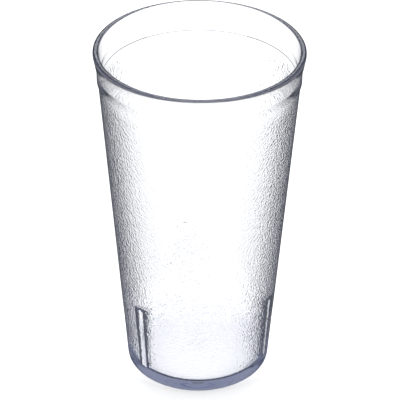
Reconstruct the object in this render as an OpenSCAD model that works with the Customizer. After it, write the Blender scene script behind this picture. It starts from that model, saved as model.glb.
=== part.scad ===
// Clear plastic tumbler, moulded in one piece: a tapering cup with a smooth lip band, a foot
// ring, and stacking lugs inside on which a nested cup comes to stand.

/* [Body] */
// Height from the table to the top of the lip
height = 147; // [125:1:180]
// Outside diameter over the lip
rim_d = 84; // [80:0.5:92]
// Diameter of the body's straight taper where it meets the table
foot_d = 60; // [54:0.5:66]
// Wall thickness at the foot
wall = 2.2; // [1.8:0.1:2.8]

/* [Lip and smooth band] */
// Width across the top of the lip
lip_w = 2.3; // [2:0.1:3]
// How far the lip stands out past the line of the body's taper
lip_overhang = 0.8; // [0.6:0.1:1.2]
// Height of the upright land on the outside of the lip, its rounding included
lip_land = 1.6; // [1.3:0.1:3]
// Rounding of the lip's outer edge
lip_round = 1.1; // [0.6:0.1:1.2]
// Flat left on top of the lip between the roundings of its two edges
lip_flat = 0.1; // [0.1:0.1:0.4]
// Height of the smooth band, from its lower edge to the top of the lip
band_h = 13.2; // [11:0.2:20]
// How far the band's lower edge stands out from the body
band_step = 0.45; // [0.2:0.05:0.7]
// Depth below the top of the lip at which the band starts to flare outwards
flare_h = 8.8; // [6:0.2:10]
// How far the mouth flares inside, past the line of the hollow's taper
mouth_flare = 0.35; // [0.1:0.05:0.6]
// Radius that blends the mouth's flare into the hollow
mouth_blend = 60; // [20:10:80]

/* [Floor and foot] */
// Thickness of the floor in its middle
floor_t = 3.6; // [2.4:0.1:4.4]
// Depth of the shallow hollow under the floor, which rises evenly from the foot ring
recess = 0.6; // [0.3:0.1:1.2]
// Width of the foot ring, from the hollow to the body's taper
ring_w = 4.5; // [4:0.5:8]
// Rounding of the foot's outer edge
foot_round = 1; // [0.6:0.1:1.6]
// Rounding inside, where the floor meets the wall
floor_fillet = 2; // [1:0.25:3]
// Diameter of the gate dimple in the middle of the underside
gate_d = 6; // [4:0.5:8]
// Depth of the gate dimple
gate_depth = 0.5; // [0.3:0.1:0.8]

/* [Stacking lugs] */
// Number of lugs, evenly spaced from the +X axis
lug_count = 3; // [3:1:6]
// Width of a lug where its sides meet the body's taper
lug_w = 6.2; // [5.2:0.1:8]
// Width of a lug across its inner face
lug_face_w = 2.8; // [2.4:0.1:4.4]
// Rounding of a lug's upright edges
lug_round = 0.4; // [0.2:0.1:0.8]
// Lean of a lug's inner face, by which the moulding leaves its core
lug_lean = 1.4; // [1:0.1:2.4]
// Slope of a lug's top, down to its inner face
lug_slope = 32; // [20:1:40]
// How far a lug reaches inwards past the rounded edge of the nested cup's foot
lug_reach = 1.9; // [1:0.1:2.4]
// Gap between the walls of two nested cups
nest_gap = 0.55; // [0.4:0.05:1.5]

/* [Hidden] */
$fn = 96;
clear = [0.84, 0.87, 0.95, 0.5];

rim_r = rim_d / 2;
inner_rim_r = rim_r - lip_w;
hollow_top_r = inner_rim_r - mouth_flare;
lip_inner_round = lip_w - lip_round - lip_flat;
foot_r = foot_d / 2;
inner_foot_r = foot_r - wall;
ring_r = foot_r - ring_w;
floor_z = recess + floor_t;
band_z = height - band_h;

// Radius at height z of the body's taper outside, of its hollow, and half way through its wall
function taper(z, r_foot, r_top) = r_foot + (r_top - r_foot) * z / height;
function body_r(z) = taper(z, foot_r, rim_r - lip_overhang);
function inner_r(z) = taper(z, inner_foot_r, hollow_top_r);
function mid_wall_r(z) = (body_r(z) + inner_r(z)) / 2;

waist_r = body_r(band_z) + band_step;

// A nested cup's foot comes to stand where the hollow is a gap wider than it
nest_z = height * (foot_r + nest_gap - inner_foot_r) / (hollow_top_r - inner_foot_r);
lug_face_r = foot_r - foot_round - lug_reach;

// The lugs' sloping tops touch the rounded edge of the nested cup's foot there
draft = atan((body_r(height) - foot_r) / height);
foot_edge_r = foot_r - foot_round * tan((90 - draft) / 2);
touch_r = foot_edge_r + foot_round * sin(lug_slope);
touch_z = nest_z + foot_round * (1 - cos(lug_slope));
function lug_top(r) = touch_z + (r - touch_r) * tan(lug_slope);
lug_depth = body_r(nest_z) - lug_face_r;

// A corner is [x, y, rounding]. Its arc is [start, end, centre, radius, turn], and turn is
// negative where an outline that runs anticlockwise bulges out.
function at(corner) = [corner.x, corner.y];
function unit(v) = v / norm(v);
function arc(before, corner, after) =
    let (u = unit(at(before) - at(corner)), v = unit(at(after) - at(corner)))
    let (half = acos(u * v) / 2, r = corner.z)
    [
        at(corner) + u * r / tan(half),
        at(corner) + v * r / tan(half),
        at(corner) + unit(u + v) * r / sin(half),
        r,
        cross(u, v),
    ];

// The piece between a sharp corner and its arc
module spandrel(corner, arc) {
    difference() {
        polygon([arc[0], at(corner), arc[1]]);
        translate(arc[2]) circle(arc[3]);
    }
}

// Area inside corners that run anticlockwise, each rounded by its own radius
module outline(corners) {
    n = len(corners);
    rounded = [for (i = [0 : n - 1]) if (corners[i].z > 0) i];
    arcs = [for (i = [0 : n - 1]) arc(corners[(i + n - 1) % n], corners[i], corners[(i + 1) % n])];
    difference() {
        union() {
            polygon([for (c = corners) at(c)]);
            for (i = rounded) if (arcs[i][4] > 0) spandrel(corners[i], arcs[i]);
        }
        for (i = rounded) if (arcs[i][4] < 0) spandrel(corners[i], arcs[i]);
    }
}

// Half section of the cup without its lugs, from the middle of the underside outwards
module section() {
    gate_r = gate_d / 2;
    outline([
        [0, recess + gate_depth, 0],
        [gate_r - gate_depth, recess + gate_depth, 0],
        [gate_r, recess, 0],
        [ring_r, 0, 0],
        [foot_r, 0, foot_round],
        [body_r(band_z), band_z, 0],
        [waist_r, band_z + band_step / 2, 0],
        [waist_r, height - flare_h, 0],
        [rim_r, height - lip_land, 0],
        [rim_r, height, lip_round],
        [inner_rim_r, height, lip_inner_round],
        [inner_r(height - flare_h), height - flare_h, mouth_blend],
        [inner_r(floor_z), floor_z, floor_fillet],
        [0, floor_z, 0],
    ]);
}

// Plan of one lug with its inner face on the Y axis, out to the body's taper
module lug_plan() {
    outline([
        [0, -lug_face_w / 2, lug_round],
        [lug_depth, -lug_w / 2, 0],
        [lug_depth, lug_w / 2, 0],
        [0, lug_face_w / 2, lug_round],
    ]);
}

// Upright block that leans inwards down to the middle of the floor, taller than the lug
module lug_block() {
    drop = nest_z - floor_z + floor_t / 2;
    translate([lug_face_r, 0, nest_z])
        rotate([0, lug_lean, 0])
            translate([0, 0, -drop])
                linear_extrude(drop + lug_depth) lug_plan();
}

// Each lug ends inside the wall, and above in a funnel on which the nested cup centres itself
module lugs() {
    funnel_r = body_r(height);
    for (i = [0 : lug_count - 1])
        rotate(i * 360 / lug_count)
            difference() {
                intersection() {
                    lug_block();
                    cylinder(h = height, r1 = mid_wall_r(0), r2 = mid_wall_r(height));
                }
                translate([0, 0, lug_top(0)])
                    cylinder(h = lug_top(funnel_r) - lug_top(0), r1 = 0, r2 = funnel_r);
            }
}

module tumbler() {
    color(clear) {
        rotate_extrude() section();
        lugs();
    }
}

tumbler();
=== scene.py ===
"""Clear pebbled tumbler: one moulded piece of clear plastic on a pale floor in soft studio light."""
import math

import bmesh
import bpy
from mathutils import Matrix, Vector


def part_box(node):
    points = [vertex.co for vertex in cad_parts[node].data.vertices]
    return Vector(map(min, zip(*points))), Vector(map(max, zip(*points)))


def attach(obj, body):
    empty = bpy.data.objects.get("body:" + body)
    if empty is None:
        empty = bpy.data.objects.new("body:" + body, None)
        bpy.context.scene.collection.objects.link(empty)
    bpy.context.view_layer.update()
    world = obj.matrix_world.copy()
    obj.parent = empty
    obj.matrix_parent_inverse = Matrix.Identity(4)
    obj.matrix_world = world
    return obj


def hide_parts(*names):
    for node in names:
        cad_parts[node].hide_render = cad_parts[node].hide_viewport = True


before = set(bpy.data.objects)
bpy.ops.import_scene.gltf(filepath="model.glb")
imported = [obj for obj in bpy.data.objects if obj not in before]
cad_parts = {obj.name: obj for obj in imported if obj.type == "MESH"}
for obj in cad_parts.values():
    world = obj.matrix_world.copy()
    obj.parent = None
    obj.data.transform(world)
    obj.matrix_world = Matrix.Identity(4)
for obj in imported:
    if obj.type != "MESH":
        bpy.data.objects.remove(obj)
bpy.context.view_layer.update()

# Sizes in millimetres, the same as the solid's
MM = 0.001
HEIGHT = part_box("tumbler")[1].z / MM
RIM_R = 42.0
FOOT_R = 30.0
WALL = 2.2
LIP_W = 2.3
LIP_OVERHANG = 0.8
LIP_LAND = 1.6
LIP_ROUND = 1.1
LIP_FLAT = 0.1
BAND_H = 13.2
BAND_STEP = 0.45
FLARE_H = 8.8
MOUTH_FLARE = 0.35
MOUTH_BLEND = 60.0
FLOOR_T = 3.6
RECESS = 0.6
RING_W = 4.5
FOOT_ROUND = 1.0
FLOOR_FILLET = 2.0
GATE_R = 3.0
GATE_DEPTH = 0.5
LUG_COUNT = 3
LUG_W = 6.2
LUG_FACE_W = 2.8
LUG_ROUND = 0.4
LUG_LEAN = 1.4
LUG_SLOPE = 32.0
LUG_REACH = 1.9
NEST_GAP = 0.55

# Edges that are softened here and sharp on the solid: the gate dimple's, the step under the band,
# the bend where the band starts to flare, the bend where it meets the land, and the lugs' tops
GATE_SOFT = 0.2
STEP_SOFT = 0.1
FLARE_SOFT = 6.0
LAND_SOFT = 1.0
LUG_SOFT = 0.2

# Pebbling of the outer wall: where it starts above the foot, the height in which it fades in and
# out, its pitch and relief, and by how much and how far around it calms down behind a lug
PEBBLE_FROM = 6.0
PEBBLE_FADE = 1.0
PEBBLE_PITCH = 0.85
PEBBLE_RELIEF = 0.24
LUG_CALM = 0.3
LUG_CALM_FADE = 2.0

# Mesh: columns around the cup, which are halved, down to a least number, while they are narrower
# than a least width, the height of a row, the steps of an arc and of a lug's softened edge, and
# the angle in degrees from which an edge is shaded sharp
COLUMNS = 288
LEAST_COLUMNS = 48
COLUMN_W = 0.4
ROW = 4.0
ARC_STEPS = 8
SOFT_STEPS = 2
SHARP_ANGLE = 35.0

# What the clear plastic leaves of white light, and how strongly
PLASTIC_TINT = (0.26, 0.33, 0.57, 1)
PLASTIC_DENSITY = 20

# Painted shade of the world and of the floor, chosen by the light path: the colours that a path
# gives when it is seen straight, mirrored or trapped, of which the mirrored and trapped ones are
# painted shade, and how many clear surfaces it may go straight through, which for the world is any
# number.
# A path is trapped after so many reflections more than the first.
WORLD_FIELD = (1, 1, 1, 1), (0.1, 0.104, 0.122, 1), (0.44, 0.443, 0.472, 1)
FLOOR_FIELD = (0.78, 0.78, 0.78, 1), (0.087, 0.091, 0.108, 1), (0.35, 0.352, 0.368, 1)
WORLD_SURFACES = 99
FLOOR_SURFACES = 4
TRAPPED_AFTER = 4

# Level direction from the foot to the light behind, and a painted pool of light, a glow in the
# floor's own colour that lies on the floor from under the foot to a little behind it: its strength,
# how far back its middle is, its radius and the width of its soft edge
LIT_FROM = Vector((-0.36, 0.93, 0))
PAINTED_POOL = 0.56
PAINTED_POOL_BACK = 12.0
PAINTED_POOL_R = 42.0
PAINTED_POOL_EDGE = 8.0

# Studio in metres: the floor, which lies a little under the foot, and two square soft boxes that
# face the foot, one above it and one behind it, with their powers in watts
FLOOR_SIZE = 6
FLOOR_GAP = 0.0001
SOFTBOX_SIZE = 0.9
TOP_UP = 1.2
TOP_POWER = 2
BACK_AWAY = 0.7
BACK_UP = 0.9
BACK_POWER = 3.5

# Camera fitted to the photograph, a picture of 400 by 400: angles in degrees, and distance, aim
# and lens in millimetres
CAM_AZIMUTH = 20.75
CAM_ELEVATION = 33.11
CAM_DISTANCE = 806.07
CAM_AIM_RIGHT = 0.52
CAM_AIM_UP = 73.43
CAM_PITCH = 0.161
CAM_ROLL = 0.376
CAM_LENS = 176.1

# Exposure, and how often light may turn on its way through the clear wall
EXPOSURE = 0.51
BOUNCES = 32

INNER_RIM_R = RIM_R - LIP_W
HOLLOW_TOP_R = INNER_RIM_R - MOUTH_FLARE
LIP_INNER_ROUND = LIP_W - LIP_ROUND - LIP_FLAT
INNER_FOOT_R = FOOT_R - WALL
RING_R = FOOT_R - RING_W
FLOOR_Z = RECESS + FLOOR_T
BAND_Z = HEIGHT - BAND_H


def taper(z, r_foot, r_top):
    return r_foot + (r_top - r_foot) * z / HEIGHT


def body_r(z):
    return taper(z, FOOT_R, RIM_R - LIP_OVERHANG)


def inner_r(z):
    return taper(z, INNER_FOOT_R, HOLLOW_TOP_R)


def mid_wall_r(z):
    return (body_r(z) + inner_r(z)) / 2


WAIST_R = body_r(BAND_Z) + BAND_STEP
NEST_Z = HEIGHT * (FOOT_R + NEST_GAP - INNER_FOOT_R) / (HOLLOW_TOP_R - INNER_FOOT_R)
LUG_FACE_R = FOOT_R - FOOT_ROUND - LUG_REACH
LUG_DEPTH = body_r(NEST_Z) - LUG_FACE_R
LUG_ROOT_Z = FLOOR_Z - FLOOR_T / 2


def lug_top(r):
    """Height of a lug's sloping top, which touches the rounded foot edge of a nested cup."""
    slope = math.radians(LUG_SLOPE)
    draft = math.atan((body_r(HEIGHT) - FOOT_R) / HEIGHT)
    foot_edge_r = FOOT_R - FOOT_ROUND * math.tan((math.pi / 2 - draft) / 2)
    touch_r = foot_edge_r + FOOT_ROUND * math.sin(slope)
    touch_z = NEST_Z + FOOT_ROUND * (1 - math.cos(slope))
    return touch_z + (r - touch_r) * math.tan(slope)


def rounded(corners):
    """Points of an outline whose corners are (x, y, rounding)."""
    points = []
    for i, (x, y, radius) in enumerate(corners):
        corner = Vector((x, y))
        if not radius:
            points.append(corner)
            continue
        u = (Vector(corners[i - 1][:2]) - corner).normalized()
        v = (Vector(corners[(i + 1) % len(corners)][:2]) - corner).normalized()
        half = u.angle(v) / 2
        centre = corner + (u + v).normalized() * radius / math.sin(half)
        start = corner + u * radius / math.tan(half) - centre
        end = corner + v * radius / math.tan(half) - centre
        turn = start.angle(end)
        for k in range(ARC_STEPS + 1):
            t = k / ARC_STEPS
            way = (start * math.sin((1 - t) * turn) + end * math.sin(t * turn)) / math.sin(turn)
            points.append(centre + way)
    return points


def divided(points, spacing):
    """The same outline with its long stretches divided."""
    out = [points[0]]
    for a, b in zip(points, points[1:]):
        n = max(1, math.ceil((b - a).length / spacing))
        out += [a.lerp(b, k / n) for k in range(1, n + 1)]
    return out


def rings():
    """Every ring of the cup as (r, z, columns).

    They go from the middle of the underside, up the outside and down the inside, to the floor.
    """
    under = [
        (GATE_R - GATE_DEPTH, RECESS + GATE_DEPTH, 0),
        (GATE_R, RECESS, GATE_SOFT),
        (RING_R, 0, 0),
        (FOOT_R, 0, FOOT_ROUND),
        (body_r(PEBBLE_FROM), PEBBLE_FROM, 0),
    ]
    band = [
        (body_r(BAND_Z), BAND_Z, 0),
        (WAIST_R, BAND_Z + BAND_STEP / 2, STEP_SOFT),
        (WAIST_R, HEIGHT - FLARE_H, FLARE_SOFT),
        (RIM_R, HEIGHT - LIP_LAND, LAND_SOFT),
        (RIM_R, HEIGHT, LIP_ROUND),
        (INNER_RIM_R, HEIGHT, LIP_INNER_ROUND),
        (inner_r(HEIGHT - FLARE_H), HEIGHT - FLARE_H, MOUTH_BLEND),
        (inner_r(FLOOR_Z), FLOOR_Z, FLOOR_FILLET),
        (0, FLOOR_Z, 0),
    ]
    out = []
    for r, z in divided(rounded(under) + rounded(band), ROW)[:-1]:
        columns = COLUMNS
        while columns > LEAST_COLUMNS and 2 * math.pi * r / columns < COLUMN_W:
            columns //= 2
        out.append((r, z, columns))
    return out


def smooth(t):
    """A soft step from 0 to 1."""
    t = min(1, max(0, t))
    return t * t * (3 - 2 * t)


def pebbled(z):
    """How much of the pebbling shows at height z of the outer wall."""
    return smooth((z - PEBBLE_FROM) / PEBBLE_FADE) * smooth((BAND_Z - z) / PEBBLE_FADE)


def calm(x, y, z):
    """How much of the pebbling is left where a lug may stand behind the wall."""
    step = 2 * math.pi / LUG_COUNT
    turn = (math.atan2(y, x) + step / 2) % step - step / 2
    aside = abs(turn) * math.hypot(x, y) - LUG_W / 2
    near = (1 - smooth(aside / LUG_CALM_FADE)) * (1 - smooth((z - NEST_Z) / LUG_CALM_FADE))
    return 1 - LUG_CALM * near


def placed(name, data):
    """A new object in the scene."""
    obj = bpy.data.objects.new(name, data)
    bpy.context.scene.collection.objects.link(obj)
    return obj


def strip(a, b):
    """Triangles between two rings of vertex numbers, each a list of (angle, number)."""
    faces = []
    i = j = 0
    while i < len(a) or j < len(b):
        turn_a = a[(i + 1) % len(a)][0] + 2 * math.pi * ((i + 1) // len(a))
        turn_b = b[(j + 1) % len(b)][0] + 2 * math.pi * ((j + 1) // len(b))
        va, vb = a[i % len(a)][1], b[j % len(b)][1]
        if j >= len(b) or (i < len(a) and turn_a <= turn_b):
            faces.append((va, a[(i + 1) % len(a)][1], vb))
            i += 1
        else:
            faces.append((va, b[(j + 1) % len(b)][1], vb))
            j += 1
    return faces


def cup_body():
    """The cup without its lugs."""
    verts = [Vector((0, 0, RECESS + GATE_DEPTH))]
    loops = []
    for k, (r, z, columns) in enumerate(rings()):
        turns = [2 * math.pi * (c + k % 2 / 2) / columns for c in range(columns)]
        loops.append([(turn, len(verts) + c) for c, turn in enumerate(turns)])
        verts += [Vector((r * math.cos(turn), r * math.sin(turn), z)) for turn in turns]
    verts.append(Vector((0, 0, FLOOR_Z)))
    first = [number for _, number in loops[0]]
    last = [number for _, number in loops[-1]]
    faces = [(0, b, a) for a, b in zip(first, first[1:] + first[:1])]
    for a, b in zip(loops, loops[1:]):
        faces += strip(a, b)
    faces += [(len(verts) - 1, a, b) for a, b in zip(last, last[1:] + last[:1])]
    mesh = bpy.data.meshes.new("cup")
    mesh.from_pydata([v * MM for v in verts], [], faces)
    mesh.validate()
    return placed("cup", mesh)


def lug_outline(z):
    """Outline at height z of a lug on the +X axis, from its inner face to the middle of the wall."""
    face_r = LUG_FACE_R + math.tan(math.radians(LUG_LEAN)) * (z - NEST_Z)
    root_r = mid_wall_r(z)
    root_w = LUG_FACE_W + (LUG_W - LUG_FACE_W) * (root_r - face_r) / LUG_DEPTH
    return rounded([
        (face_r, -LUG_FACE_W / 2, LUG_ROUND),
        (root_r, -root_w / 2, 0),
        (root_r, root_w / 2, 0),
        (face_r, LUG_FACE_W / 2, LUG_ROUND),
    ])


def lug(angle):
    """One stacking lug, from inside the floor up to its sloping top, whose edges are softened."""
    bm = bmesh.new()
    low, high = [], []
    for a, b in zip(lug_outline(LUG_ROOT_Z), lug_outline(NEST_Z)):
        z = lug_top(b.length)
        top = a + (b - a) * (z - LUG_ROOT_Z) / (NEST_Z - LUG_ROOT_Z)
        low.append(bm.verts.new((a.x, a.y, LUG_ROOT_Z)))
        high.append(bm.verts.new((top.x, top.y, z)))
    n = len(low)
    for i in range(n):
        bm.faces.new((low[i], low[(i + 1) % n], high[(i + 1) % n], high[i]))
    bm.faces.new(low[::-1])
    edges = list(bm.faces.new(high).edges)
    bmesh.ops.bevel(
        bm, geom=edges, offset=LUG_SOFT, segments=SOFT_STEPS, affect="EDGES", profile=0.5
    )
    bmesh.ops.triangulate(bm, faces=bm.faces)
    bmesh.ops.recalc_face_normals(bm, faces=bm.faces)
    bmesh.ops.rotate(bm, verts=bm.verts, matrix=Matrix.Rotation(angle, 3, "Z"))
    bmesh.ops.scale(bm, verts=bm.verts, vec=(MM, MM, MM))
    mesh = bpy.data.meshes.new("lug")
    bm.to_mesh(mesh)
    bm.free()
    return placed("lug", mesh)


def joined(body, parts):
    """The body and the parts as one closed skin."""
    for part in parts:
        union = body.modifiers.new(part.name, "BOOLEAN")
        union.operation = "UNION"
        union.solver = "MANIFOLD"
        union.object = part
    deps = bpy.context.evaluated_depsgraph_get()
    mesh = bpy.data.meshes.new_from_object(body.evaluated_get(deps))
    piece = placed("tumbler_clear", mesh)
    for obj in [body, *parts]:
        bpy.data.objects.remove(obj)
    return piece


def mark_pebbling(mesh):
    """Store on every vertex how much of the pebbling shows there, which is none on the inside."""
    depth = mesh.attributes.new("pebbling", "FLOAT", "POINT")
    for vertex in mesh.vertices:
        x, y, z = vertex.co / MM
        outside = math.hypot(x, y) > mid_wall_r(z)
        depth.data[vertex.index].value = pebbled(z) * calm(x, y, z) if outside else 0


def feed(node, inputs):
    """Give each of a node's inputs, by name or number, a value or another node's output."""
    for key, value in inputs.items():
        if isinstance(value, bpy.types.NodeSocket):
            node.id_data.links.new(value, node.inputs[key])
        else:
            node.inputs[key].default_value = value


def calculated(tree, operation, a, b):
    """What a math node makes of two numbers or outputs."""
    node = tree.nodes.new("ShaderNodeMath")
    node.operation = operation
    feed(node, {0: a, 1: b})
    return node.outputs[0]


def mixed(tree, factor, a, b):
    """Colour a where the factor is 0, and colour b where it is 1 or more."""
    node = tree.nodes.new("ShaderNodeMix")
    node.data_type = "RGBA"
    feed(node, {0: factor, 6: a, 7: b})
    return node.outputs[2]


def clear_plastic():
    """Clear plastic that refracts and faintly tints light, pebbled where the mesh is marked."""
    mat = bpy.data.materials.new("clear_plastic")
    mat.use_nodes = True
    tree = mat.node_tree
    place = tree.nodes.new("ShaderNodeTexCoord")
    pebbles = tree.nodes.new("ShaderNodeTexNoise")
    scale = 1 / (PEBBLE_PITCH * MM)
    feed(pebbles, {"Vector": place.outputs["Object"], "Scale": scale, "Detail": 0})
    zone = tree.nodes.new("ShaderNodeAttribute")
    zone.attribute_name = "pebbling"
    height = calculated(tree, "MULTIPLY", pebbles.outputs["Fac"], zone.outputs["Fac"])
    bump = tree.nodes.new("ShaderNodeBump")
    bump.invert = True
    feed(bump, {"Distance": PEBBLE_RELIEF * MM, "Height": height})
    feed(tree.nodes["Principled BSDF"], {
        "Base Color": (1, 1, 1, 1),
        "Roughness": 0.02,
        "IOR": 1.57,
        "Transmission Weight": 1,
        "Normal": bump.outputs[0],
    })
    inside = tree.nodes.new("ShaderNodeVolumeAbsorption")
    feed(inside, {"Color": PLASTIC_TINT, "Density": PLASTIC_DENSITY})
    feed(tree.nodes["Material Output"], {"Volume": inside.outputs[0]})
    return mat


def painted_path_shade(tree, colours, surfaces):
    """The colour that a light path gives, with painted shade where the path is mirrored or trapped.

    It is seen where the path goes straight through at most so many clear surfaces, and mirrored
    where it is reflected or goes on through more. It nears trapped with each more reflection.
    """
    seen, mirrored, trapped = colours
    path = tree.nodes.new("ShaderNodeLightPath")
    reflections = path.outputs["Glossy Depth"]
    beyond = calculated(tree, "SUBTRACT", path.outputs["Transmission Depth"], surfaces)
    turned_away = calculated(tree, "MAXIMUM", reflections, beyond)
    more = calculated(tree, "SUBTRACT", reflections, 1)
    caught = calculated(tree, "DIVIDE", more, TRAPPED_AFTER)
    return mixed(tree, turned_away, seen, mixed(tree, caught, mirrored, trapped))


def pale_floor():
    """The floor, with painted shade on mirrored and trapped paths and a painted pool of light on it.
    """
    mat = bpy.data.materials.new("pale_floor")
    mat.use_nodes = True
    tree = mat.node_tree
    place = tree.nodes.new("ShaderNodeTexCoord")
    radius = tree.nodes.new("ShaderNodeVectorMath")
    radius.operation = "DISTANCE"
    feed(radius, {0: place.outputs["Object"], 1: LIT_FROM * PAINTED_POOL_BACK * MM})
    # Painted pool of light: the floor glows from under the foot to a little behind it, fading out at
    # its edge
    painted_pool = tree.nodes.new("ShaderNodeMapRange")
    feed(painted_pool, {
        "Value": radius.outputs["Value"],
        "From Min": (PAINTED_POOL_R - PAINTED_POOL_EDGE) * MM,
        "From Max": PAINTED_POOL_R * MM,
        "To Min": PAINTED_POOL,
        "To Max": 0,
    })
    # Painted shade: the floor is darker where it is seen in a reflection or through too many
    # surfaces
    painted_field = painted_path_shade(tree, FLOOR_FIELD, FLOOR_SURFACES)
    feed(tree.nodes["Principled BSDF"], {
        "Base Color": painted_field,
        "Roughness": 1,
        "Specular IOR Level": 0,
        "Emission Color": painted_field,
        "Emission Strength": painted_pool.outputs[0],
    })
    return mat


def turned(a, b, degrees):
    """Two square directions turned by an angle, the first towards the second."""
    c, s = math.cos(math.radians(degrees)), math.sin(math.radians(degrees))
    return a * c + b * s, b * c - a * s


def photo_camera():
    """The camera at the photograph's angle, without depth of field."""
    azimuth, elevation = math.radians(CAM_AZIMUTH), math.radians(CAM_ELEVATION)
    right = Vector((math.cos(azimuth), math.sin(azimuth), 0))
    level = Vector((-math.sin(azimuth), math.cos(azimuth), 0))
    ahead = level * math.cos(elevation) - Vector((0, 0, math.sin(elevation)))
    aim = right * CAM_AIM_RIGHT + Vector((0, 0, CAM_AIM_UP))
    place = (aim - ahead * CAM_DISTANCE) * MM
    up = right.cross(ahead)
    ahead, up = turned(ahead, up, CAM_PITCH)
    right, up = turned(right, up, CAM_ROLL)
    camera = placed("camera", bpy.data.cameras.new("camera"))
    camera.data.lens = CAM_LENS
    camera.matrix_world = Matrix((
        (right.x, up.x, -ahead.x, place.x),
        (right.y, up.y, -ahead.y, place.y),
        (right.z, up.z, -ahead.z, place.z),
        (0, 0, 0, 1),
    ))
    return camera


def studio_world():
    """The world, with painted shade on mirrored and trapped paths."""
    world = bpy.data.worlds.new("studio")
    world.use_nodes = True
    tree = world.node_tree
    # Painted shade: the world is darker where it is seen in a reflection or through too many
    # surfaces
    painted_field = painted_path_shade(tree, WORLD_FIELD, WORLD_SURFACES)
    feed(tree.nodes["Background"], {"Color": painted_field})
    return world


def softbox(name, location, power):
    """A square area light that faces the cup's foot."""
    light = bpy.data.lights.new(name, "AREA")
    light.size = SOFTBOX_SIZE
    light.energy = power
    obj = placed(name, light)
    obj.location = location
    obj.rotation_euler = (-location).to_track_quat("-Z", "Y").to_euler()
    return obj


piece = joined(cup_body(), [lug(2 * math.pi * i / LUG_COUNT) for i in range(LUG_COUNT)])
piece.data.shade_smooth()
piece.data.set_sharp_from_angle(angle=math.radians(SHARP_ANGLE))
mark_pebbling(piece.data)
piece.data.materials.clear()
piece.data.materials.append(clear_plastic())
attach(piece, "root")
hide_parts("tumbler")

bpy.ops.mesh.primitive_plane_add(size=FLOOR_SIZE, location=(0, 0, -FLOOR_GAP))
floor = bpy.context.object
floor.name = "floor"
floor.data.materials.append(pale_floor())

# The light behind is kept out of what is seen through the plastic, where it would leave a patch
softbox("top", Vector((0, 0, TOP_UP)), TOP_POWER)
back = softbox("back", LIT_FROM * BACK_AWAY + Vector((0, 0, BACK_UP)), BACK_POWER)
back.visible_transmission = False

scene = bpy.context.scene
scene.camera = photo_camera()
scene.world = studio_world()
scene.view_settings.view_transform = "Standard"
scene.view_settings.exposure = EXPOSURE
scene.cycles.blur_glossy = 0
scene.cycles.max_bounces = BOUNCES
scene.cycles.glossy_bounces = BOUNCES
scene.cycles.transmission_bounces = BOUNCES
